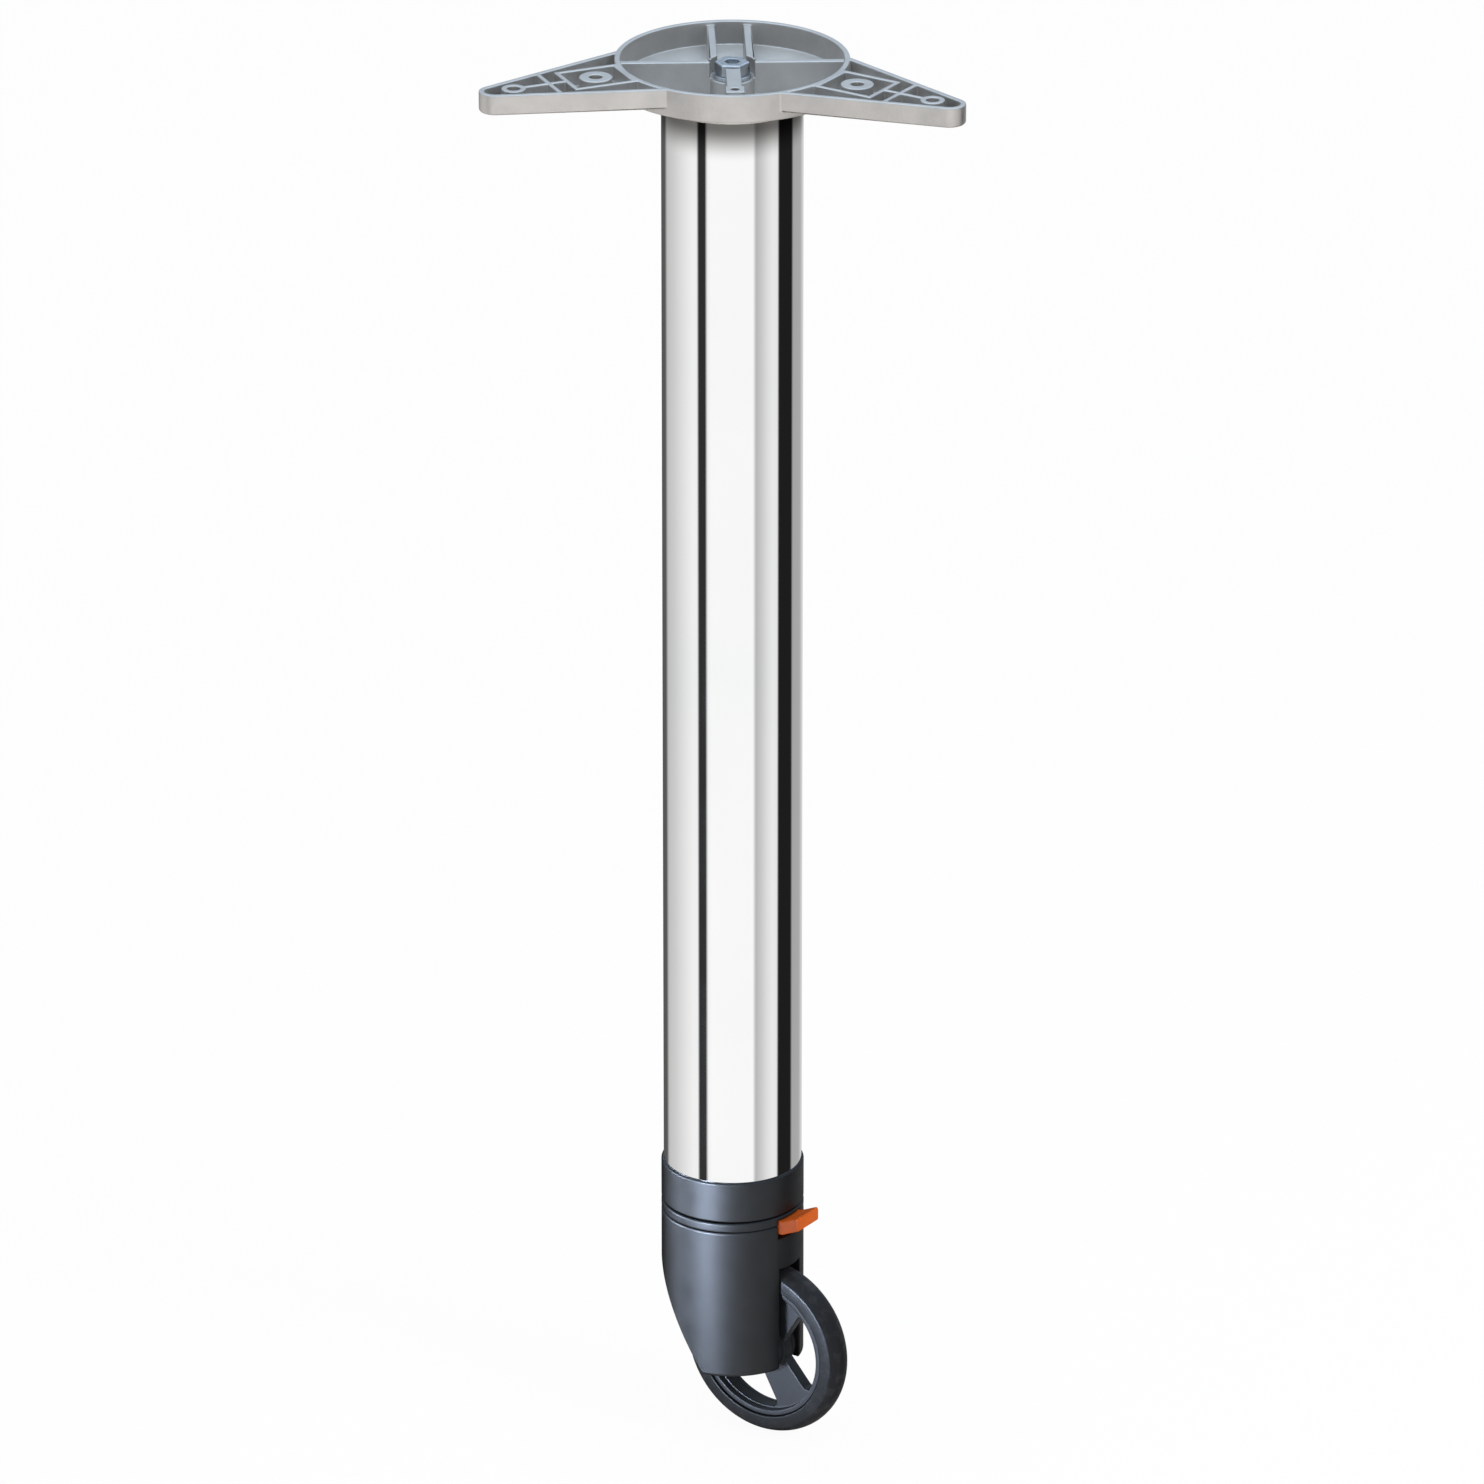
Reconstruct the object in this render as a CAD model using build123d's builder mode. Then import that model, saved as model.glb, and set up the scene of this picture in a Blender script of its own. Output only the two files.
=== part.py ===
from build123d import *
import os
from math import cos, radians, sin, sqrt

# Table leg: a chromed tube under a die-cast mounting plate, on a swivel castor with a brake.
# Millimetres. The origin is the centre of the plate's top face, on the leg's axis, with +Z up.

# Mounting plate
dish_r = 49.5
dish_band_h = 11.8
dish_wall = 3.0
dish_rim_w = 2.4
plate_h = 18.8
foot_lip = 2.0
foot_h = 1.5
rib_w = 3.4
rib_drop = 1.6
rib_turn = 6.5
front_rib_w = 6.4
back_rib_gap = 15.5
centre_boss_r = 9.5
bolt_seat_depth = 8.5
front_boss_w = 8.0
front_boss_y = 40.0
front_boss_hole_r = 1.8
front_boss_hole_depth = 9.0
wing_angle = 28.0
wing_reach = 114.2
wing_root_r = 38.0
wing_tip_r = 7.0
wing_h = 8.8
wing_wall = 2.4
wing_floor = 2.2
wing_rib_w = 2.0
wing_edge = 0.8
inner_screw_at = 62.0
outer_screw_at = 99.0
inner_boss_r = 7.0
outer_boss_r = 5.2
screw_hole_r = 2.75
frame_length = 28.0
frame_width = 24.0
mid_rib_at = 83.0

# Plate fastening
bolt_r = 4.0
bolt_length = 45.0
bolt_head_af = 13.0
bolt_head_h = 5.3
bolt_socket_af = 6.0
bolt_socket_depth = 3.2
washer_r = 8.0
washer_t = 1.6
nut_h = 6.5
nut_af = 13.0
plug_length = 32.0
plug_top_t = 6.0
plug_skirt_t = 2.6
plug_column_r = 11.0
plug_rib_w = 2.4
plug_rib_count = 6
fixing_clear = 0.2
press_clear = 0.1

# Tube
tube_r = 30.0
tube_wall = 1.5
tube_length = 500.0

# Collar
collar_wall = 1.0
collar_h = 18.6
collar_floor = 4.4
collar_edge = 0.7
spigot_length = 42.0
spigot_wall = 3.0
stem_column_r = 12.5
collar_rib_w = 2.4
collar_rib_count = 6

# Swivel
sleeve_r = 8.0
sleeve_proud = 1.0
kingpin_r = 5.5
kingpin_root_r = 6.5
kingpin_root_length = 14.0
kingpin_flange_r = 10.5
kingpin_tail = 3.2
clip_t = 1.2
clip_r = 8.2
clip_groove_depth = 0.9
clip_mouth = 7.0
thrust_r = 11.5
thrust_t = 1.4
swivel_gap = 0.5
running_clear = 0.05
body_gap = 0.3

# Castor housing and cap
castor_yaw = -29.0
housing_h = 69.0
cheek_rise = 33.4
cap_h = 4.4
seam = 0.6
cap_wall = 1.6
slot_w = 15.6
slot_clear = 3.0
rake_foot = 5.0
rake_lean = 34.0
rake_blend_r = 36.0
cheek_edge_fillet = 1.6

# Wheel
wheel_r = 40.0
trail = 18.4
tyre_w = 14.0
tyre_depth = 8.5
tyre_crown = 3.4
rim_t = 2.6
rim_w = 12.0
hub_r = 10.5
hub_w = 13.0
spoke_count = 3
spoke_start = 65.0
spoke_t = 6.0
spoke_hub_w = 12.0
spoke_rim_w = 19.0
window_land = 0.6
axle_r = 4.0
bush_wall = 2.0
bush_flange_r = 8.4
bush_flange_t = 0.8
bush_length = 5.6
axle_plug_t = 3.0
axle_plug_inset = 0.4

# Brake
pedal_w = 16.0
pedal_t = 6.2
pedal_overhang = 9.0
pedal_rise = 4.0
pedal_drop = 4.0
pedal_edge = 1.2
pivot_u = 13.6
pivot_drop = 4.8
pivot_r = 4.0
pivot_pin_r = 2.0
pin_bearing = 4.0
shoe_start = 20.0
shoe_length = 6.0
shoe_gap = 1.9
brake_angle = 6.0
pocket_clear = 0.5
spring_t = 0.6
spring_w = 9.0

# Heights of the stack, measured down from the mounting face and up from the floor
tube_top = -plate_h
tube_bottom = tube_top - tube_length
collar_bottom = tube_bottom - collar_floor
cap_top = collar_bottom - swivel_gap
cap_bottom = cap_top - cap_h
housing_top = cap_bottom
cheek_bottom = housing_top - housing_h
floor_z = cheek_bottom - cheek_rise
axle_z = floor_z + wheel_r

# Radii that follow the tube
tube_inner_r = tube_r - tube_wall
foot_r = tube_r + foot_lip
collar_r = tube_r + collar_wall
housing_r = collar_r

# Planes of the castor: u runs along the trail, v along the axle
u_dir = Vector(cos(radians(castor_yaw)), sin(radians(castor_yaw)), 0)
v_dir = Vector(-sin(radians(castor_yaw)), cos(radians(castor_yaw)), 0)
level = Plane(origin=(0, 0, 0), x_dir=u_dir, z_dir=(0, 0, 1))
fork = Plane(origin=(0, 0, 0), x_dir=u_dir, z_dir=-v_dir)
trail_axis = Axis((0, 0, 0), u_dir)
axle_point = u_dir * trail + Vector(0, 0, axle_z)
axle_plane = Plane(origin=axle_point, x_dir=u_dir, z_dir=-v_dir)
pivot_z = housing_top - pivot_drop
pivot_plane = Plane(origin=u_dir * pivot_u + Vector(0, 0, pivot_z), x_dir=u_dir, z_dir=-v_dir)

os.makedirs("parts", exist_ok=True)


# Mounting plate: one die casting, a round dished hub with two tapered wings, open and ribbed on top
wing_spread = 2 * wing_angle - 180
with BuildSketch() as wing_outline:
    Circle(wing_root_r)
    with Locations((wing_reach - wing_tip_r, 0)):
        Circle(wing_tip_r)
    make_hull()

with BuildSketch() as wing_inside:
    add(wing_outline.sketch)
    offset(amount=-wing_wall, mode=Mode.REPLACE)
    Circle(dish_r, mode=Mode.SUBTRACT)

with BuildSketch() as wing_webs:
    with Locations((inner_screw_at, 0)):
        Rectangle(frame_length, frame_width)
        Rectangle(frame_length - 2 * wing_rib_w, frame_width - 2 * wing_rib_w, mode=Mode.SUBTRACT)
        Circle(inner_boss_r)
    with Locations((mid_rib_at, 0)):
        Rectangle(wing_rib_w, 2 * wing_root_r)
    with Locations((outer_screw_at, 0)):
        Circle(outer_boss_r)
    with Locations(((inner_screw_at + outer_screw_at + frame_length / 2) / 2, 0)):
        Rectangle(outer_screw_at - inner_screw_at - frame_length / 2, wing_rib_w)

with BuildPart() as wing_pockets:
    with BuildSketch():
        with PolarLocations(0, 2, start_angle=-wing_angle, angular_range=wing_spread, endpoint=True):
            add(wing_inside.sketch)
            add(wing_webs.sketch, mode=Mode.SUBTRACT)
    extrude(amount=-(wing_h - wing_floor))

ribs = Plane.XY.rotated((0, 0, rib_turn))
with BuildPart() as dish_pocket:
    with BuildSketch(Plane.XZ):
        with BuildLine():
            Polyline(
                (0, 0),
                (dish_r - dish_rim_w, 0),
                (dish_r - dish_rim_w, -dish_band_h + dish_wall / 2),
                (foot_r - dish_wall, -plate_h + dish_wall),
                (0, -plate_h + dish_wall),
                close=True,
            )
        make_face()
    revolve(axis=Axis.Z)
    with BuildSketch(ribs.offset(-rib_drop)):
        Rectangle(2 * dish_r, rib_w)
        with Locations((0, -dish_r / 2)):
            Rectangle(front_rib_w, dish_r)
        with Locations((-back_rib_gap / 2, dish_r / 2), (back_rib_gap / 2, dish_r / 2)):
            Rectangle(rib_w, dish_r)
    extrude(amount=-plate_h, mode=Mode.SUBTRACT)
    with BuildSketch(ribs):
        with Locations((0, -front_boss_y)):
            Rectangle(front_boss_w, front_boss_w)
    extrude(amount=-plate_h, mode=Mode.SUBTRACT)
    with BuildSketch(Plane.XY.offset(-bolt_seat_depth)):
        Circle(centre_boss_r)
    extrude(amount=-plate_h, mode=Mode.SUBTRACT)

with BuildPart() as mounting_plate:
    with BuildSketch():
        with PolarLocations(0, 2, start_angle=-wing_angle, angular_range=wing_spread, endpoint=True):
            add(wing_outline.sketch)
    extrude(amount=-wing_h)
    chamfer(mounting_plate.faces().sort_by(Axis.Z)[0].edges(), wing_edge)
    with BuildSketch(Plane.XZ):
        with BuildLine():
            Polyline(
                (0, 0),
                (dish_r, 0),
                (dish_r, -dish_band_h),
                (foot_r, -plate_h + foot_h),
                (foot_r, -plate_h),
                (0, -plate_h),
                close=True,
            )
        make_face()
    revolve(axis=Axis.Z)
    add(wing_pockets.part, mode=Mode.SUBTRACT)
    add(dish_pocket.part, mode=Mode.SUBTRACT)
    with BuildSketch():
        Circle(centre_boss_r)
    extrude(amount=-bolt_seat_depth, mode=Mode.SUBTRACT)
    with Locations((0, 0, -bolt_seat_depth)):
        Hole(bolt_r + fixing_clear, plate_h)
    with PolarLocations(front_boss_y, 1, start_angle=rib_turn - 90):
        Hole(front_boss_hole_r, front_boss_hole_depth)
    with PolarLocations(inner_screw_at, 2, start_angle=-wing_angle, angular_range=wing_spread, endpoint=True):
        Hole(screw_hole_r, wing_h)
    with PolarLocations(outer_screw_at, 2, start_angle=-wing_angle, angular_range=wing_spread, endpoint=True):
        Hole(screw_hole_r, wing_h)
mounting_plate.part.label = "mounting_plate"
export_step(mounting_plate.part, "parts/mounting_plate.step")


# Bolt through the plate, its washer, the moulded plug in the tube and the captive nut under it
bolt_seat = -bolt_seat_depth + washer_t
with BuildPart() as plate_bolt:
    with BuildSketch(Plane.XY.offset(bolt_seat)):
        RegularPolygon(bolt_head_af / 2, 6, major_radius=False)
    extrude(amount=bolt_head_h)
    chamfer(plate_bolt.faces().sort_by(Axis.Z)[-1].edges(), bolt_head_h / 10)
    with BuildSketch(Plane.XY.offset(bolt_seat + bolt_head_h)):
        RegularPolygon(bolt_socket_af / 2, 6, major_radius=False)
    extrude(amount=-bolt_socket_depth, mode=Mode.SUBTRACT)
    with BuildSketch(Plane.XY.offset(bolt_seat)):
        Circle(bolt_r)
    extrude(amount=-bolt_length)
    chamfer(plate_bolt.faces().sort_by(Axis.Z)[0].edges(), bolt_r / 6)
plate_bolt.part.label = "plate_bolt"
export_step(plate_bolt.part, "parts/plate_bolt.step")

with BuildPart() as plate_washer:
    with BuildSketch(Plane.XY.offset(-bolt_seat_depth)):
        Circle(washer_r)
        Circle(bolt_r + fixing_clear, mode=Mode.SUBTRACT)
    extrude(amount=washer_t)
plate_washer.part.label = "plate_washer"
export_step(plate_washer.part, "parts/plate_washer.step")

plug_r = tube_inner_r - press_clear
plug_bottom = tube_top - plug_length
with BuildPart() as top_plug:
    with BuildSketch(Plane.XY.offset(tube_top)):
        Circle(plug_r)
    extrude(amount=-plug_length)
    chamfer(top_plug.faces().sort_by(Axis.Z)[0].edges(), plug_skirt_t / 3)
    with BuildSketch(Plane.XY.offset(plug_bottom)):
        Circle(plug_r - plug_skirt_t)
        Circle(plug_column_r, mode=Mode.SUBTRACT)
        with PolarLocations(plug_r / 2, plug_rib_count):
            Rectangle(plug_r, plug_rib_w, mode=Mode.SUBTRACT)
    extrude(amount=plug_length - plug_top_t, mode=Mode.SUBTRACT)
    with Locations((0, 0, tube_top)):
        Hole(bolt_r + fixing_clear, plug_length)
    with BuildSketch(Plane.XY.offset(plug_bottom)):
        RegularPolygon(nut_af / 2 + press_clear, 6, major_radius=False)
    extrude(amount=nut_h + press_clear, mode=Mode.SUBTRACT)
top_plug.part.label = "top_plug"
export_step(top_plug.part, "parts/top_plug.step")

with BuildPart() as plug_nut:
    with BuildSketch(Plane.XY.offset(plug_bottom)):
        RegularPolygon(nut_af / 2, 6, major_radius=False)
        Circle(bolt_r + press_clear, mode=Mode.SUBTRACT)
    extrude(amount=nut_h)
plug_nut.part.label = "plug_nut"
export_step(plug_nut.part, "parts/plug_nut.step")


# Leg: a plain round tube between the plate's foot and the collar's floor
with BuildPart() as leg_tube:
    with BuildSketch(Plane.XY.offset(tube_top)):
        Circle(tube_r)
        Circle(tube_inner_r, mode=Mode.SUBTRACT)
    extrude(amount=-tube_length)
leg_tube.part.label = "leg_tube"
export_step(leg_tube.part, "parts/leg_tube.step")


# Collar: a band outside the tube and a ribbed spigot inside it, moulded in one with the kingpin's column
collar_top = collar_bottom + collar_h
spigot_r = tube_inner_r - press_clear
spigot_top = tube_bottom + spigot_length
with BuildPart() as collar:
    with BuildSketch(Plane.XY.offset(collar_bottom)):
        Circle(collar_r)
    extrude(amount=collar_h)
    chamfer(collar.faces().sort_by(Axis.Z)[-1].edges(), collar_edge)
    chamfer(collar.faces().sort_by(Axis.Z)[0].edges(), seam)
    with BuildSketch(Plane.XY.offset(tube_bottom)):
        Circle(tube_r + press_clear)
    extrude(amount=collar_h, mode=Mode.SUBTRACT)
    with BuildSketch(Plane.XY.offset(tube_bottom)):
        Circle(spigot_r)
        Circle(spigot_r - spigot_wall, mode=Mode.SUBTRACT)
        with PolarLocations(spigot_r / 2, collar_rib_count):
            Rectangle(spigot_r - spigot_wall, collar_rib_w)
        Circle(stem_column_r)
    extrude(amount=spigot_length)
    with Locations((0, 0, spigot_top)):
        Hole(sleeve_r + press_clear, spigot_length + collar_floor)
collar.part.label = "collar"
export_step(collar.part, "parts/collar.step")


# Swivel: a steel sleeve pressed in the collar, the kingpin that turns in it, its clip and its washer
sleeve_bottom = collar_bottom
sleeve_top = spigot_top + sleeve_proud
with BuildPart() as stem_sleeve:
    with BuildSketch(Plane.XY.offset(sleeve_bottom)):
        Circle(sleeve_r)
        Circle(kingpin_r + running_clear, mode=Mode.SUBTRACT)
    extrude(amount=sleeve_top - sleeve_bottom)
stem_sleeve.part.label = "stem_sleeve"
export_step(stem_sleeve.part, "parts/stem_sleeve.step")

thrust_top = collar_bottom - body_gap
thrust_bottom = thrust_top - thrust_t
with BuildPart() as thrust_washer:
    with BuildSketch(Plane.XY.offset(thrust_bottom)):
        Circle(thrust_r)
        Circle(kingpin_r + press_clear, mode=Mode.SUBTRACT)
    extrude(amount=thrust_t)
thrust_washer.part.label = "thrust_washer"
export_step(thrust_washer.part, "parts/thrust_washer.step")

clip_bottom = sleeve_top + body_gap
kingpin_top = clip_bottom + clip_t + kingpin_tail
kingpin_foot = housing_top - kingpin_root_length
with BuildPart() as kingpin:
    with BuildSketch(Plane.XY.offset(kingpin_foot)):
        Circle(kingpin_root_r)
    extrude(amount=kingpin_root_length)
    with BuildSketch(Plane.XY.offset(housing_top)):
        Circle(kingpin_flange_r)
    extrude(amount=thrust_bottom - housing_top)
    with BuildSketch(Plane.XY.offset(thrust_bottom)):
        Circle(kingpin_r)
    extrude(amount=kingpin_top - thrust_bottom)
    chamfer(kingpin.faces().sort_by(Axis.Z)[-1].edges(), kingpin_tail / 4)
    with BuildSketch(Plane.XY.offset(clip_bottom)):
        Circle(kingpin_r)
        Circle(kingpin_r - clip_groove_depth, mode=Mode.SUBTRACT)
    extrude(amount=clip_t, mode=Mode.SUBTRACT)
kingpin.part.label = "kingpin"
export_step(kingpin.part, "parts/kingpin.step")

with BuildPart() as kingpin_clip:
    with BuildSketch(level.offset(clip_bottom + press_clear / 2)):
        Circle(clip_r)
        Circle(kingpin_r - clip_groove_depth + press_clear, mode=Mode.SUBTRACT)
        with Locations((clip_r, 0)):
            Rectangle(2 * clip_r, clip_mouth, mode=Mode.SUBTRACT)
    extrude(amount=clip_t - press_clear)
kingpin_clip.part.label = "kingpin_clip"
export_step(kingpin_clip.part, "parts/kingpin_clip.step")


# Castor housing: a round moulding whose lower half is a fork, raked away on the leading side
slot_r = wheel_r + slot_clear
pocket_half_w = pedal_w / 2 + pocket_clear
pocket_floor = -pivot_r - pocket_clear
pocket_back = -pivot_r - body_gap - spring_t - press_clear
wall_u = housing_r - pivot_u
pedal_top = pivot_drop + pedal_t - pedal_drop
pedal_bottom = pivot_drop - pedal_drop
window_sill = pedal_bottom - wall_u * sin(radians(brake_angle)) - pocket_clear
shoe_u = shoe_start - pivot_u
pedal_tip = housing_r + pedal_overhang - pivot_u
shoe_sweep = (pivot_z - axle_z - wheel_r) * sin(radians(brake_angle))
well_floor = axle_z + wheel_r - shoe_gap - pivot_z
rake_top = cheek_bottom + (rake_foot + housing_r) / sqrt(1 / cos(radians(rake_lean)) ** 2 - 1)
axle_plug_face = sqrt(housing_r**2 - (trail + axle_r) ** 2) - axle_plug_inset
axle_end = axle_plug_face - axle_plug_t

with BuildPart() as castor_housing:
    with BuildSketch(level.offset(cheek_bottom)):
        Circle(housing_r)
    extrude(amount=housing_h)
    chamfer(castor_housing.faces().sort_by(Axis.Z)[-1].edges(), seam)
    with BuildSketch(fork):
        with BuildLine():
            rake = FilletPolyline(
                (rake_foot, cheek_bottom),
                (-housing_r, rake_top),
                (-housing_r, rake_top + rake_blend_r),
                radius=rake_blend_r,
            )
            Polyline(
                rake @ 0,
                (rake_foot, cheek_bottom - cheek_rise),
                (-2 * housing_r, cheek_bottom - cheek_rise),
                (-2 * housing_r, rake_top + rake_blend_r),
                rake @ 1,
            )
        make_face()
    extrude(amount=2 * housing_r, both=True, mode=Mode.SUBTRACT)
    fillet(castor_housing.faces().sort_by(Axis.Z)[0].edges(), cheek_edge_fillet)
    with BuildSketch(axle_plane):
        Circle(slot_r)
    extrude(amount=slot_w / 2, both=True, mode=Mode.SUBTRACT)
    # Pocket for the pedal, open to the top and to the trailing side, with a well for the shoe
    with BuildSketch(pivot_plane):
        with BuildLine():
            Polyline(
                (pocket_back, pocket_floor),
                (shoe_u + shoe_length + pocket_clear, pocket_floor),
                (shoe_u + shoe_length + pocket_clear, window_sill),
                (2 * housing_r, window_sill),
                (2 * housing_r, pivot_drop),
                (pocket_back, pivot_drop),
                close=True,
            )
        make_face()
        with BuildLine():
            Polyline(
                (shoe_u - shoe_sweep - pocket_clear, pocket_floor),
                (shoe_u + shoe_length + pocket_clear, pocket_floor),
                (shoe_u + shoe_length + pocket_clear, well_floor),
                (shoe_u - shoe_sweep - pocket_clear, well_floor),
                close=True,
            )
        make_face()
    extrude(amount=pocket_half_w, both=True, mode=Mode.SUBTRACT)
    # Open-topped seats for the pedal's pin
    with BuildSketch(pivot_plane):
        Circle(pivot_pin_r + press_clear)
        with Locations((0, pivot_drop / 2)):
            Rectangle(2 * (pivot_pin_r + press_clear), pivot_drop)
    extrude(amount=pocket_half_w + pin_bearing, both=True, mode=Mode.SUBTRACT)
    with BuildSketch(level.offset(housing_top)):
        Circle(kingpin_root_r + press_clear)
    extrude(amount=-kingpin_root_length - press_clear, mode=Mode.SUBTRACT)
    # Blind axle seat in the near cheek, through bore in the far one
    with BuildSketch(axle_plane.offset(axle_end + press_clear)):
        Circle(axle_r + press_clear)
    extrude(amount=-axle_end - 2 * housing_r, mode=Mode.SUBTRACT)
castor_housing.part.label = "castor_housing"
export_step(castor_housing.part, "parts/castor_housing.step")

# Cap: a shallow moulded ring that closes the pedal's pocket, with two pegs that hold the pin down
cap_hole_r = thrust_r + fixing_clear
cap_ceiling = cap_top - cap_wall
with BuildPart() as housing_cap:
    with BuildSketch(level.offset(housing_top)):
        Circle(housing_r)
    extrude(amount=cap_h)
    chamfer(housing_cap.faces().sort_by(Axis.Z)[-1].edges(), seam)
    chamfer(housing_cap.faces().sort_by(Axis.Z)[0].edges(), seam)
    with BuildSketch(level.offset(housing_top)):
        Circle(housing_r - cap_wall)
        Circle(cap_hole_r + cap_wall, mode=Mode.SUBTRACT)
    extrude(amount=cap_ceiling - housing_top, mode=Mode.SUBTRACT)
    with BuildSketch(level.offset(housing_top)):
        with Locations((pivot_u + housing_r, 0)):
            Rectangle(2 * housing_r, 2 * pocket_half_w)
    extrude(amount=cap_ceiling - housing_top, mode=Mode.SUBTRACT)
    with BuildSketch(level.offset(housing_top)):
        Circle(cap_hole_r)
    extrude(amount=cap_h, mode=Mode.SUBTRACT)
    with BuildSketch(level.offset(pivot_z + pivot_pin_r + press_clear)):
        with GridLocations(0, 2 * pocket_half_w + pin_bearing, 1, 2):
            with Locations((pivot_u, 0)):
                Rectangle(2 * pivot_pin_r, pin_bearing - 2 * body_gap)
    extrude(until=Until.NEXT)
housing_cap.part.label = "housing_cap"
export_step(housing_cap.part, "parts/housing_cap.step")


# Wheel: a three-spoke core, the tread moulded on it, two flanged bushes and the fixed axle
wheel_section = Plane(origin=axle_point, x_dir=u_dir, z_dir=(0, 0, 1))
axle_axis = Axis(axle_point, v_dir)
tyre_inner_r = wheel_r - tyre_depth
rim_inner_r = tyre_inner_r - rim_t
bush_r = axle_r + running_clear + bush_wall

with BuildPart() as wheel_tyre:
    with BuildSketch(wheel_section):
        with BuildLine():
            sides = Polyline(
                (wheel_r - tyre_crown, -tyre_w / 2),
                (tyre_inner_r, -tyre_w / 2),
                (tyre_inner_r, tyre_w / 2),
                (wheel_r - tyre_crown, tyre_w / 2),
            )
            ThreePointArc(sides @ 0, (wheel_r, 0), sides @ 1)
        make_face()
    revolve(axis=axle_axis)
wheel_tyre.part.label = "wheel_tyre"
export_step(wheel_tyre.part, "parts/wheel_tyre.step")

with BuildSketch() as spoke:
    with BuildLine():
        Polyline(
            (0, -spoke_hub_w / 2),
            (rim_inner_r + rim_t, -spoke_rim_w / 2),
            (rim_inner_r + rim_t, spoke_rim_w / 2),
            (0, spoke_hub_w / 2),
            close=True,
        )
    make_face()

with BuildSketch() as windows:
    Circle(rim_inner_r - window_land)
    Circle(hub_r + window_land, mode=Mode.SUBTRACT)
    with PolarLocations(0, spoke_count, start_angle=spoke_start):
        add(spoke.sketch, mode=Mode.SUBTRACT)
    fillet(windows.vertices(), rim_t)

with BuildPart() as wheel_core:
    with BuildSketch(axle_plane):
        Circle(tyre_inner_r - press_clear)
        Circle(rim_inner_r, mode=Mode.SUBTRACT)
    extrude(amount=rim_w / 2, both=True)
    with BuildSketch(axle_plane):
        Circle(tyre_inner_r - press_clear)
        add(windows.sketch, mode=Mode.SUBTRACT)
    extrude(amount=spoke_t / 2, both=True)
    with BuildSketch(axle_plane):
        Circle(hub_r)
    extrude(amount=hub_w / 2, both=True)
    with BuildSketch(axle_plane):
        Circle(bush_r + press_clear)
    extrude(amount=hub_w, both=True, mode=Mode.SUBTRACT)
wheel_core.part.label = "wheel_core"
export_step(wheel_core.part, "parts/wheel_core.step")

with BuildPart() as wheel_bushes:
    with BuildSketch(axle_plane.offset(hub_w / 2)):
        Circle(bush_r)
        Circle(axle_r + running_clear, mode=Mode.SUBTRACT)
    extrude(amount=-bush_length)
    with BuildSketch(axle_plane.offset(hub_w / 2)):
        Circle(bush_flange_r)
        Circle(axle_r + running_clear, mode=Mode.SUBTRACT)
    extrude(amount=bush_flange_t)
    mirror(about=axle_plane)
wheel_bushes.part.label = "wheel_bushes"
export_step(wheel_bushes.part, "parts/wheel_bushes.step")

with BuildPart() as wheel_axle:
    with BuildSketch(axle_plane):
        Circle(axle_r)
    extrude(amount=axle_end, both=True)
wheel_axle.part.label = "wheel_axle"
export_step(wheel_axle.part, "parts/wheel_axle.step")

with BuildPart() as axle_plug:
    with BuildSketch(axle_plane.offset(-axle_end - press_clear)):
        Circle(axle_r)
    extrude(amount=-axle_plug_t + press_clear)
axle_plug.part.label = "axle_plug"
export_step(axle_plug.part, "parts/axle_plug.step")


# Brake: the pedal with its shoe, the pin it tips on and the leaf that keeps it up or down
with BuildPart() as brake_pedal:
    with BuildSketch(pivot_plane):
        Circle(pivot_r)
        with BuildLine():
            Polyline(
                (0, pivot_r),
                (pedal_top - pivot_r, pedal_top),
                (wall_u, pedal_top),
                (pedal_tip, pedal_top + pedal_rise),
                (pedal_tip, pedal_bottom + pedal_rise),
                (wall_u, pedal_bottom),
                (shoe_u + shoe_length, pedal_bottom),
                (shoe_u + shoe_length, axle_z - pivot_z),
                (shoe_u, axle_z - pivot_z),
                (shoe_u, 0),
                (0, -pivot_r),
                close=True,
            )
        make_face()
        Circle(pivot_pin_r + running_clear, mode=Mode.SUBTRACT)
        with Locations((trail - pivot_u, axle_z - pivot_z)):
            Circle(wheel_r + shoe_gap, mode=Mode.SUBTRACT)
    extrude(amount=pedal_w / 2, both=True)
    tip = brake_pedal.faces().sort_by(trail_axis)[-1]
    fillet(tip.edges(), pedal_edge)
brake_pedal.part.label = "brake_pedal"
export_step(brake_pedal.part, "parts/brake_pedal.step")

with BuildPart() as brake_pin:
    with BuildSketch(pivot_plane):
        Circle(pivot_pin_r)
    extrude(amount=pocket_half_w + pin_bearing - press_clear, both=True)
brake_pin.part.label = "brake_pin"
export_step(brake_pin.part, "parts/brake_pin.step")

with BuildPart() as brake_spring:
    with BuildSketch(pivot_plane):
        with Locations((-pivot_r - body_gap - spring_t / 2, (pivot_drop + pocket_floor) / 2)):
            Rectangle(spring_t, pivot_drop - pocket_floor - 2 * press_clear)
    extrude(amount=spring_w / 2, both=True)
brake_spring.part.label = "brake_spring"
export_step(brake_spring.part, "parts/brake_spring.step")
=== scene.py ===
from math import cos, pi, radians, sin

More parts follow.
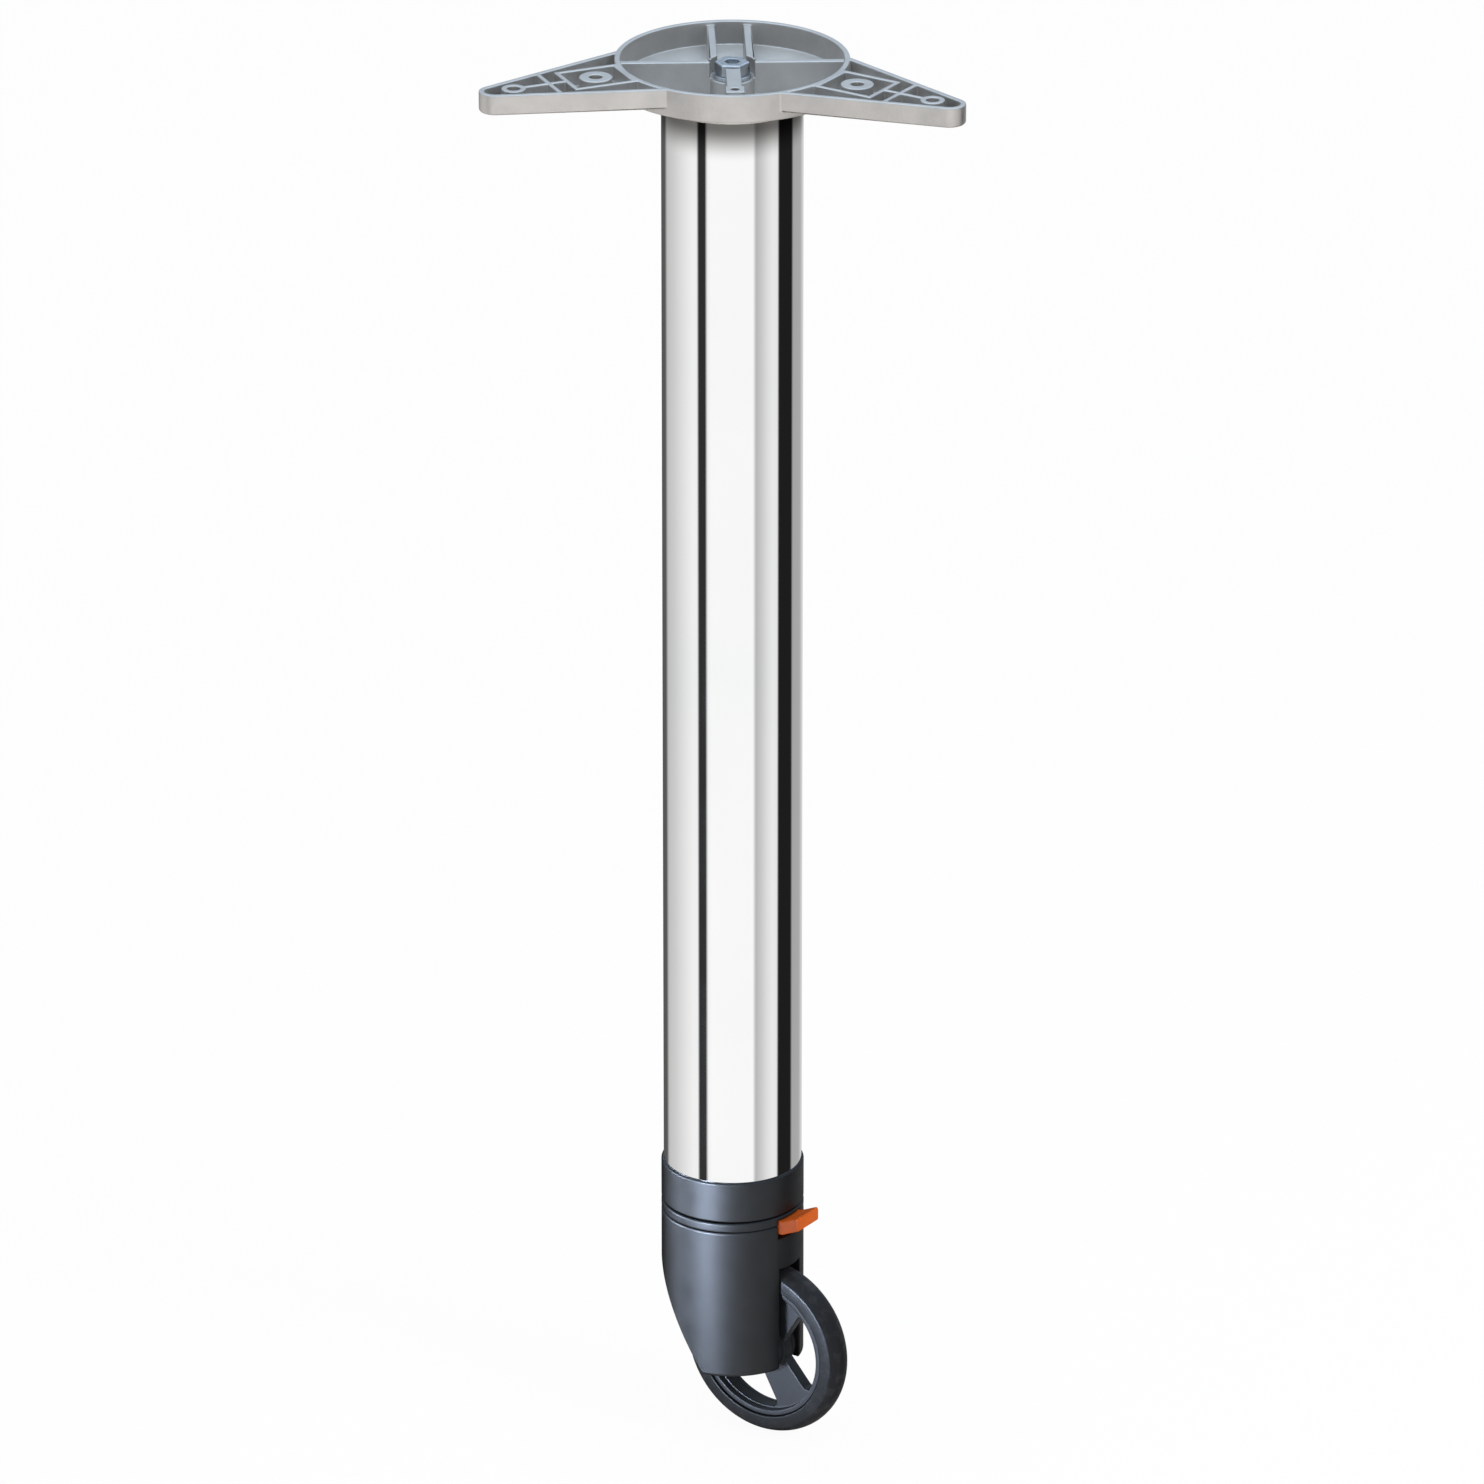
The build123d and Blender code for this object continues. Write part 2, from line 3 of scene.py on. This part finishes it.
import bpy
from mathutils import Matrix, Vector


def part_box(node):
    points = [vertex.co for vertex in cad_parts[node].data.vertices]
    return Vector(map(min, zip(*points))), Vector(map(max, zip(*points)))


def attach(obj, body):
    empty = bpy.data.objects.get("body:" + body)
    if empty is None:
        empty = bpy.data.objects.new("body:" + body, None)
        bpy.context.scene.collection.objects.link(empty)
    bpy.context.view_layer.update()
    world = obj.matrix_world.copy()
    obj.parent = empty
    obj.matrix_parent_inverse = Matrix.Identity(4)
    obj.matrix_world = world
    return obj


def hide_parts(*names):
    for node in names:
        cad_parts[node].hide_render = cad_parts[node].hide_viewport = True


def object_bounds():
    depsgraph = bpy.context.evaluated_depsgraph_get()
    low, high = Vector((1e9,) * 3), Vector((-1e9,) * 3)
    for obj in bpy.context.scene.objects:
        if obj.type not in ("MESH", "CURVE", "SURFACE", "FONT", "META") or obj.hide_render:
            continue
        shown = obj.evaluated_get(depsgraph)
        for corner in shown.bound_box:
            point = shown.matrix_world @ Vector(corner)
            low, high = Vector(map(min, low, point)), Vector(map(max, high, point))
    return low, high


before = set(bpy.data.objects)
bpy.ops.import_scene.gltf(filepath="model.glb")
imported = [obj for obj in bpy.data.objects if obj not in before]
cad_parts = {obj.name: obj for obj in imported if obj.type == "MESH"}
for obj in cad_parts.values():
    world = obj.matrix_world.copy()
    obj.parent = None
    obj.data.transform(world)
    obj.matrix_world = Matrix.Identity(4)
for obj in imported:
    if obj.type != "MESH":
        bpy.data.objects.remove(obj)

cad_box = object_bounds()


# Leg tube
# One length of round steel tube, cut square, polished and chromed all over.
# It is pushed over the collar's spigot below and the plug above, so only its outside shows.
tube_wall = 0.0015
tube_sides = 192
tube_end_round = 0.0002
tube_end_angle = radians(60)
tube_smooth_angle = radians(50)
chrome_colour = (0.95, 0.95, 0.94, 1)
chrome_cloud = (0.91, 0.92, 0.92, 1)
# Painted shade on the tube's top below the plate: its dark colour, the depth where it is full and the depth
# where it ends
chrome_painted_shade = (0.155, 0.150, 0.142, 1)
shade_full = 0.002
shade_end = 0.018


def select_only(piece):
    bpy.ops.object.select_all(action="DESELECT")
    piece.select_set(True)
    bpy.context.view_layer.objects.active = piece


def apply_modifier(piece, kind, **settings):
    modifier = piece.modifiers.new(kind.lower(), kind)
    for name, value in settings.items():
        setattr(modifier, name, value)
    select_only(piece)
    bpy.ops.object.modifier_apply(modifier=modifier.name)


def feed(tree, socket, value):
    """Links a socket to another node's output, or sets it to a constant."""
    if isinstance(value, bpy.types.NodeSocket):
        tree.links.new(value, socket)
    else:
        socket.default_value = value


def add_node(tree, kind, **inputs):
    """Adds a node to a shader tree and feeds the inputs that are named."""
    made = tree.nodes.new(kind)
    for name, value in inputs.items():
        feed(tree, made.inputs[name.replace("_", " ")], value)
    return made


def add_ramp(tree, factor, stops):
    """Adds a colour ramp with stops of (position, colour) and returns its colour."""
    ramp = add_node(tree, "ShaderNodeValToRGB", Fac=factor)
    elements = ramp.color_ramp.elements
    while len(elements) < len(stops):
        elements.new(1.0)
    for element, (position, colour) in zip(elements, stops):
        element.position = position
        element.color = colour
    return ramp.outputs["Color"]


def mix_colours(tree, factor, first, second):
    """Mixes two colours by a factor and returns the mixed colour."""
    mixed = tree.nodes.new("ShaderNodeMix")
    mixed.data_type = "RGBA"
    feed(tree, mixed.inputs["Factor"], factor)
    feed(tree, mixed.inputs[6], first)
    feed(tree, mixed.inputs[7], second)
    return mixed.outputs[2]


def start_group(name, inputs, output):
    """Starts a shader node group with one output, all floats, and returns its tree and input node."""
    tree = bpy.data.node_groups.new(name, "ShaderNodeTree")
    for socket, value in inputs.items():
        made = tree.interface.new_socket(name=socket, in_out="INPUT", socket_type="NodeSocketFloat")
        made.default_value = value
    tree.interface.new_socket(name=output, in_out="OUTPUT", socket_type="NodeSocketFloat")
    return tree, tree.nodes.new("NodeGroupInput")


def place_group(tree, group, **inputs):
    made = tree.nodes.new("ShaderNodeGroup")
    made.node_tree = group
    for name, value in inputs.items():
        made.inputs[name].default_value = value
    return made


def start_material(name):
    material = bpy.data.materials.new(name)
    material.use_nodes = True
    return material, material.node_tree, material.node_tree.nodes["Principled BSDF"]


# Slow patches over a surface, between two values: clouds in plating, uneven gloss, colour drift
mottle, given = start_group("surface_mottle", {"Scale": 40.0, "Low": 0.0, "High": 1.0}, "Value")
place = mottle.nodes.new("ShaderNodeTexCoord")
cloud = add_node(mottle, "ShaderNodeTexNoise", Vector=place.outputs["Object"], Scale=given.outputs["Scale"],
                 Detail=4.0, Roughness=0.6)
spread = add_node(mottle, "ShaderNodeMapRange", Value=cloud.outputs["Fac"], From_Min=0.3, From_Max=0.7,
                  To_Min=given.outputs["Low"], To_Max=given.outputs["High"])
add_node(mottle, "NodeGroupOutput", Value=spread.outputs["Result"])

# Fine relief of a surface: the ripple of plating, the skin of a casting or the grain of a mould
grain, given = start_group("surface_grain", {"Scale": 1500.0}, "Height")
place = grain.nodes.new("ShaderNodeTexCoord")
pits = add_node(grain, "ShaderNodeTexNoise", Vector=place.outputs["Object"], Scale=given.outputs["Scale"],
                Detail=3.0, Roughness=0.55)
add_node(grain, "NodeGroupOutput", Height=pits.outputs["Fac"])


def drifting_colour(tree, scale, stops):
    """Returns a colour that drifts over the surface between the ramp's stops."""
    drift = place_group(tree, mottle, Scale=scale)
    return add_ramp(tree, drift.outputs["Value"], stops)


def add_surface(tree, shader, gloss_scale, gloss_low, gloss_high, skin_scale, skin_strength,
                skin_depth=0.0002):
    """Gives a material uneven gloss, between two roughnesses, and a fine relief."""
    gloss = place_group(tree, mottle, Scale=gloss_scale, Low=gloss_low, High=gloss_high)
    feed(tree, shader.inputs["Roughness"], gloss.outputs["Value"])
    skin = place_group(tree, grain, Scale=skin_scale)
    relief = add_node(tree, "ShaderNodeBump", Height=skin.outputs["Height"], Strength=skin_strength,
                      Distance=skin_depth)
    feed(tree, shader.inputs["Normal"], relief.outputs["Normal"])


# Chrome with a painted shade: its colour darkens smoothly over the first millimetres below the plate,
# standing in for the shade where hardly any light reaches it
tube_low, tube_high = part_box("leg_tube")
chrome, tree, shader = start_material("chrome_plating")
shader.inputs["Metallic"].default_value = 1.0
plating = drifting_colour(tree, 9.0, [(0.0, chrome_cloud), (1.0, chrome_colour)])
place = tree.nodes.new("ShaderNodeTexCoord")
level = add_node(tree, "ShaderNodeSeparateXYZ", Vector=place.outputs["Object"])
# Mask of the painted shade: 1 just below the plate, fading to 0 further down the tube
painted_shade_below_plate = add_node(tree, "ShaderNodeMapRange", Value=level.outputs["Z"],
                       From_Min=tube_high.z - shade_end, From_Max=tube_high.z - shade_full)
painted_shade_below_plate.interpolation_type = "SMOOTHSTEP"
shaded = mix_colours(tree, painted_shade_below_plate.outputs["Result"], plating, chrome_painted_shade)
feed(tree, shader.inputs["Base Color"], shaded)
add_surface(tree, shader, gloss_scale=30.0, gloss_low=0.03, gloss_high=0.055,
            skin_scale=14.0, skin_strength=0.06)

bpy.ops.object.select_all(action="DESELECT")
bpy.ops.mesh.primitive_cylinder_add(
    vertices=tube_sides,
    radius=(tube_high.x - tube_low.x) / 2,
    depth=tube_high.z - tube_low.z,
    end_fill_type="NOTHING",
    location=(tube_low + tube_high) / 2,
)
tube = bpy.context.object
tube.name = "chromed_tube"
bpy.ops.object.transform_apply(location=True, rotation=True, scale=True)
apply_modifier(tube, "SOLIDIFY", thickness=tube_wall, offset=-1.0)
apply_modifier(tube, "BEVEL", width=tube_end_round, segments=2, limit_method="ANGLE",
               angle_limit=tube_end_angle)
bpy.ops.object.shade_smooth_by_angle(angle=tube_smooth_angle)
apply_modifier(tube, "WEIGHTED_NORMAL", keep_sharp=True, weight=100)
tube.data.materials.append(chrome)
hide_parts("leg_tube")
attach(tube, "leg")


# Plug and nut in the tube's upper end
# A ribbed nylon moulding pressed into the tube, with a plated steel nut caught in its foot.
# Neither shows once the plate is bolted on.
nylon_colour = (0.78, 0.77, 0.72, 1)
nylon_shade = (0.66, 0.65, 0.60, 1)
zinc_colour = (0.66, 0.68, 0.70, 1)
zinc_shade = (0.50, 0.52, 0.55, 1)


def paint(node, material):
    """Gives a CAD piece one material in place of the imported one."""
    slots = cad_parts[node].data.materials
    slots.clear()
    slots.append(material)


nylon, tree, shader = start_material("natural_nylon")
feed(tree, shader.inputs["Base Color"],
     drifting_colour(tree, 55.0, [(0.0, nylon_shade), (1.0, nylon_colour)]))
add_surface(tree, shader, gloss_scale=90.0, gloss_low=0.42, gloss_high=0.58,
            skin_scale=1100.0, skin_strength=0.25)

zinc, tree, shader = start_material("zinc_plated_steel")
shader.inputs["Metallic"].default_value = 1.0
feed(tree, shader.inputs["Base Color"],
     drifting_colour(tree, 240.0, [(0.0, zinc_shade), (1.0, zinc_colour)]))
add_surface(tree, shader, gloss_scale=420.0, gloss_low=0.24, gloss_high=0.40,
            skin_scale=1900.0, skin_strength=0.15)

paint("top_plug", nylon)
paint("plug_nut", zinc)


# Mounting plate
# A die casting in a light alloy, open on top, with a dish in the middle and two ribbed wings.
# It comes from the mould with softened edges, a fine skin and slightly uneven colour.
cast_colour = (0.72, 0.685, 0.65, 1)
cast_shade = (0.62, 0.595, 0.57, 1)
cast_edge_round = 0.0005
merge_distance = 0.000002
flat_angle = radians(0.5)
any_shape = radians(180)
sharp_edge = radians(30)
smooth_margin = radians(10)


def dressed_copy(name, node, edge_round, sharp_angle):
    """Copies a CAD piece, merges its loose triangles, rounds its sharp edges and shades its curves smooth."""
    piece = bpy.data.objects.new(name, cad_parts[node].data.copy())
    bpy.context.scene.collection.objects.link(piece)
    select_only(piece)
    bpy.ops.mesh.customdata_custom_splitnormals_clear()
    bpy.ops.object.mode_set(mode="EDIT")
    bpy.ops.mesh.select_all(action="SELECT")
    bpy.ops.mesh.remove_doubles(threshold=merge_distance)
    bpy.ops.mesh.tris_convert_to_quads(face_threshold=flat_angle, shape_threshold=any_shape)
    bpy.ops.object.mode_set(mode="OBJECT")
    apply_modifier(piece, "BEVEL", width=edge_round, segments=3, limit_method="ANGLE",
                   angle_limit=sharp_angle, loop_slide=False, use_clamp_overlap=False)
    bpy.ops.object.shade_smooth_by_angle(angle=sharp_angle + smooth_margin)
    apply_modifier(piece, "WEIGHTED_NORMAL", keep_sharp=True)
    piece.data.materials.clear()
    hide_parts(node)
    return piece


cast, tree, shader = start_material("cast_alloy")
shader.inputs["Metallic"].default_value = 1.0
feed(tree, shader.inputs["Base Color"],
     drifting_colour(tree, 70.0, [(0.0, cast_shade), (1.0, cast_colour)]))
add_surface(tree, shader, gloss_scale=110.0, gloss_low=0.42, gloss_high=0.54,
            skin_scale=900.0, skin_strength=0.30, skin_depth=0.0003)

plate = dressed_copy("cast_plate", "mounting_plate", cast_edge_round, sharp_edge)
plate.data.materials.append(cast)
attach(plate, "leg")


# Plate bolt and washer
# A plated steel bolt with a hexagon head, on a plain washer in the floor of the dish.
# It runs down through the plug to the caught nut and draws plate and tube together.
bolt_edge_round = 0.0003

bolt = dressed_copy("plate_bolt_head", "plate_bolt", bolt_edge_round, sharp_edge)
bolt.data.materials.append(zinc)
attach(bolt, "leg")

washer = dressed_copy("plate_bolt_washer", "plate_washer", bolt_edge_round, sharp_edge)
washer.data.materials.append(zinc)
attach(washer, "leg")


# Collar and sleeve
# A black nylon moulding with a satin skin: a band outside the tube and a spigot inside it.
# A plain steel sleeve is pressed through its middle for the castor's kingpin.
moulding_colour = (0.0072, 0.0080, 0.0088, 1)
moulding_shade = (0.0052, 0.0056, 0.0060, 1)
moulding_edge_round = 0.0004
slant_start = 0.40
slant_end = 0.80


def calm_outline(tree, shader, facing, grazing):
    """Lowers the shine towards the outline, because a fine grain scatters light that only grazes it."""
    slant = add_node(tree, "ShaderNodeLayerWeight", Blend=0.5)
    shine = add_node(tree, "ShaderNodeMapRange", Value=slant.outputs["Facing"],
                     From_Min=slant_start, From_Max=slant_end, To_Min=facing, To_Max=grazing)
    feed(tree, shader.inputs["Specular IOR Level"], shine.outputs["Result"])


moulding, tree, shader = start_material("satin_black_moulding")
calm_outline(tree, shader, facing=0.35, grazing=0.04)
feed(tree, shader.inputs["Base Color"],
     drifting_colour(tree, 80.0, [(0.0, moulding_shade), (1.0, moulding_colour)]))
add_surface(tree, shader, gloss_scale=130.0, gloss_low=0.40, gloss_high=0.48,
            skin_scale=2600.0, skin_strength=0.12)

band = dressed_copy("collar_band", "collar", moulding_edge_round, sharp_edge)
band.data.materials.append(moulding)
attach(band, "leg")
paint("stem_sleeve", zinc)


# Kingpin, its clip and its washer
# A turned steel stem that carries the castor, held in the sleeve by a spring clip.
# A nylon washer under the collar takes the load and lets the castor swivel.
paint("kingpin", zinc)
paint("kingpin_clip", zinc)
paint("thrust_washer", nylon)


# Castor housing and cap
# A black nylon fork, round above and raked below, with the cap that closes its top.
# Both have the collar's satin skin, so that the three read as one column with two dark seams.
housing_edge_round = 0.0006

fork = dressed_copy("castor_fork", "castor_housing", housing_edge_round, sharp_edge)
fork.data.materials.append(moulding)
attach(fork, "castor")

cap = dressed_copy("castor_cap", "housing_cap", moulding_edge_round, sharp_edge)
cap.data.materials.append(moulding)
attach(cap, "castor")


# Wheel core, bushes and axle
# A black three-spoke nylon core that turns on two pale bushes and a fixed steel axle.
# The axle is pushed in from the far cheek, and a black plug closes its bore.
core_colour = (0.022, 0.023, 0.026, 1)
core_shade = (0.014, 0.015, 0.017, 1)
core_edge_round = 0.0006

core_black, tree, shader = start_material("black_wheel_nylon")
shader.inputs["Specular IOR Level"].default_value = 0.25
feed(tree, shader.inputs["Base Color"],
     drifting_colour(tree, 95.0, [(0.0, core_shade), (1.0, core_colour)]))
add_surface(tree, shader, gloss_scale=80.0, gloss_low=0.48, gloss_high=0.54,
            skin_scale=1800.0, skin_strength=0.10)

core = dressed_copy("wheel_spokes", "wheel_core", core_edge_round, sharp_edge)
core.data.materials.append(core_black)
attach(core, "wheel")

plug = dressed_copy("axle_bore_plug", "axle_plug", core_edge_round, sharp_edge)
plug.data.materials.append(moulding)
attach(plug, "castor")
paint("wheel_bushes", nylon)
paint("wheel_axle", zinc)


# Tread
# A smooth band of black polyurethane round the core, with a crowned face.
# It is smoother than the core and shows faint pale scuffs.
tread_colour = (0.012, 0.012, 0.013, 1)
tread_scuff = (0.030, 0.030, 0.031, 1)
scuff_start = 0.55
tread_sharp_edge = radians(50)

tread_black, tree, shader = start_material("black_tread")
calm_outline(tree, shader, facing=0.15, grazing=0.03)
feed(tree, shader.inputs["Base Color"],
     drifting_colour(tree, 150.0, [(scuff_start, tread_colour), (1.0, tread_scuff)]))
add_surface(tree, shader, gloss_scale=60.0, gloss_low=0.40, gloss_high=0.44,
            skin_scale=1200.0, skin_strength=0.10)

tread = dressed_copy("wheel_tread", "wheel_tyre", core_edge_round, tread_sharp_edge)
tread.data.materials.append(tread_black)
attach(tread, "wheel")


# Brake pedal, pin and leaf
# An orange nylon tab that tips on a steel pin, with its shoe hidden above the tread.
# A steel leaf behind the pivot keeps it up or down.
pedal_colour = (0.62, 0.120, 0.016, 1)
pedal_shade = (0.53, 0.088, 0.013, 1)
pedal_edge_round = 0.0006

orange, tree, shader = start_material("orange_nylon")
shader.inputs["Specular IOR Level"].default_value = 0.05
feed(tree, shader.inputs["Base Color"],
     drifting_colour(tree, 120.0, [(0.0, pedal_shade), (1.0, pedal_colour)]))
add_surface(tree, shader, gloss_scale=200.0, gloss_low=0.50, gloss_high=0.60,
            skin_scale=1600.0, skin_strength=0.15)

pedal = dressed_copy("brake_tab", "brake_pedal", pedal_edge_round, sharp_edge)
pedal.data.materials.append(orange)
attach(pedal, "brake")
paint("brake_pin", zinc)
paint("brake_spring", zinc)


# Floor
# A plain white sweep under the leg, which shows the camera white with a faint contact shadow.
# Shiny pieces look past it to the studio's panels.
floor_size = 6.0
floor_white = (0.90, 0.90, 0.90, 1)
floor_roughness = 0.9
glow_white = (1, 1, 1, 1)
glow_share = 0.95


def mix_shaders(tree, factor, first, second):
    """Mixes two shaders by a factor and returns the mixed shader."""
    mixed = add_node(tree, "ShaderNodeMixShader", Fac=factor)
    tree.links.new(first, mixed.inputs[1])
    tree.links.new(second, mixed.inputs[2])
    return mixed.outputs["Shader"]


bpy.ops.object.select_all(action="DESELECT")
bpy.ops.mesh.primitive_plane_add(size=floor_size, location=(0.0, 0.0, cad_box[0].z))
floor = bpy.context.object
floor.name = "studio_floor"
floor.visible_glossy = False
sweep, tree, shader = start_material("white_sweep")
shader.inputs["Base Color"].default_value = floor_white
shader.inputs["Roughness"].default_value = floor_roughness
glow = add_node(tree, "ShaderNodeEmission", Color=glow_white, Strength=1.0)
seen = tree.nodes.new("ShaderNodeLightPath")
share = add_node(tree, "ShaderNodeMapRange", Value=seen.outputs["Is Camera Ray"], To_Max=glow_share)
glowing = mix_shaders(tree, share.outputs["Result"], shader.outputs["BSDF"], glow.outputs["Emission"])
tree.links.new(glowing, tree.nodes["Material Output"].inputs["Surface"])
floor.data.materials.append(sweep)


# Camera
# A long lens looks down on the leg from the front, a few degrees to the right, as in the photograph.
# Its frame is square, and frame_width is the width it takes in at the point it aims at.
camera_azimuth = radians(4.75)
camera_elevation = radians(22.3)
camera_distance = 5.15
camera_aim = Vector((0.0041, 0.0003, -0.3103))
camera_reach = 100.0
frame_width = 0.6369
sensor_width_mm = 36.0


def direction_at(azimuth, elevation):
    """Returns the direction out from the leg, at an azimuth from its front towards its right."""
    return Vector((
        sin(azimuth) * cos(elevation),
        -cos(azimuth) * cos(elevation),
        sin(elevation),
    ))


def look_back(direction):
    """Returns the rotation of a camera or lamp that stands out in a direction and looks back along it."""
    return (-direction).to_track_quat("-Z", "Y").to_euler()


camera_data = bpy.data.cameras.new("studio_camera")
camera_data.sensor_width = sensor_width_mm
camera_data.lens = sensor_width_mm * camera_distance / frame_width
camera_data.clip_end = camera_reach
camera = bpy.data.objects.new("studio_camera", camera_data)
bpy.context.scene.collection.objects.link(camera)
towards_camera = direction_at(camera_azimuth, camera_elevation)
camera.location = camera_aim + towards_camera * camera_distance
camera.rotation_euler = look_back(towards_camera)
bpy.context.scene.camera = camera


# Studio light
# White panels, black flags and a pale blue ceiling stand round the leg and show only in what is shiny.
# A soft key lights matt surfaces from the right, and two strips at the left lay highlights on the castor.
soft_light = (0.95, 0.97, 1.0, 1)
soft_strength = 0.75
backdrop_white = (1, 1, 1, 1)
ceiling_edge = (0.36, 0.45, 0.56, 1)
ceiling_middle = (1.00, 1.22, 1.46, 1)
ceiling_edge_rise = 0.40
ceiling_middle_rise = 0.75
panel_top_rise = 0.25
key_angle = radians(55)
key_rise = radians(35)
key_distance = 2.2
key_aim = Vector((0.0, 0.0, -0.45))
key_width = 0.6
key_height = 0.8
key_power = 20.0
key_colour = (0.86, 0.93, 1.0)
strips = [(radians(-40), 1.5), (radians(-90), 0.45)]
strip_distance = 0.5
strip_aim = Vector((0.0, 0.0, -0.50))
strip_width = 0.19
strip_height = 0.24
strip_spread = radians(36)
strip_colour = (0.65, 0.77, 1.0)

# Tones of the panels and flags at angles in degrees, from the camera towards the right of the picture
panels = [
    (-180, 0.09), (-142, 0.10), (-132, 0.55), (-110, 0.64), (-69, 0.92), (-60, 0.92), (-57, 0.03),
    (-45, 0.03), (-41, 0.92), (-35, 1.0), (34, 1.0), (39, 0.50), (50, 0.64), (60, 0.78), (70, 0.87),
    (79, 0.84), (82, 0.013), (113, 0.013), (118, 0.40), (145, 0.42), (165, 0.72), (180, 0.30),
]


def add_lamp(name, width, height, power, colour, aim, direction, distance):
    """Hangs a rectangular lamp at a distance from a point, looking back at it."""
    data = bpy.data.lights.new(name, "AREA")
    data.shape = "RECTANGLE"
    data.size = width
    data.size_y = height
    data.energy = power
    data.color = colour
    lamp = bpy.data.objects.new(name, data)
    bpy.context.scene.collection.objects.link(lamp)
    lamp.location = aim + direction * distance
    lamp.rotation_euler = look_back(direction)
    return lamp


world = bpy.data.worlds.new("studio")
bpy.context.scene.world = world
world.use_nodes = True
tree = world.node_tree
tree.nodes.clear()
direction = tree.nodes.new("ShaderNodeTexCoord")
turned = add_node(tree, "ShaderNodeMapping", Vector=direction.outputs["Generated"],
                  Rotation=(0.0, 0.0, pi / 2 - camera_azimuth))
parts = add_node(tree, "ShaderNodeSeparateXYZ", Vector=turned.outputs["Vector"])
bearing = tree.nodes.new("ShaderNodeMath")
bearing.operation = "ARCTAN2"
tree.links.new(parts.outputs["Y"], bearing.inputs[0])
tree.links.new(parts.outputs["X"], bearing.inputs[1])
around = add_node(tree, "ShaderNodeMapRange", Value=bearing.outputs["Value"], From_Min=-pi, From_Max=pi)
ring = add_ramp(tree, around.outputs["Result"],
                [((angle + 180) / 360, (tone, tone, tone, 1)) for angle, tone in panels])
ceiling = add_ramp(tree, parts.outputs["Z"],
                   [(ceiling_edge_rise, ceiling_edge), (ceiling_middle_rise, ceiling_middle)])
height = add_node(tree, "ShaderNodeMapRange", Value=parts.outputs["Z"], From_Min=0.0, From_Max=panel_top_rise)
studio = mix_colours(tree, height.outputs["Result"], ring, ceiling)
mirrored = add_node(tree, "ShaderNodeBackground", Color=studio)
fill = add_node(tree, "ShaderNodeBackground", Color=soft_light, Strength=soft_strength)
backdrop = add_node(tree, "ShaderNodeBackground", Color=backdrop_white, Strength=1.0)
seen = tree.nodes.new("ShaderNodeLightPath")
lit = mix_shaders(tree, seen.outputs["Is Glossy Ray"], fill.outputs["Background"],
                  mirrored.outputs["Background"])
shown = mix_shaders(tree, seen.outputs["Is Camera Ray"], lit, backdrop.outputs["Background"])
add_node(tree, "ShaderNodeOutputWorld", Surface=shown)

key = add_lamp("key_softbox", key_width, key_height, key_power, key_colour, key_aim,
               direction_at(camera_azimuth + key_angle, key_rise), key_distance)
key.visible_glossy = False

for strip_angle, strip_power in strips:
    strip = add_lamp("castor_strip", strip_width, strip_height, strip_power, strip_colour, strip_aim,
                     direction_at(camera_azimuth + strip_angle, 0.0), strip_distance)
    strip.data.spread = strip_spread
    strip.visible_diffuse = False
    strip.visible_camera = False

bpy.context.scene.view_settings.view_transform = "Standard"
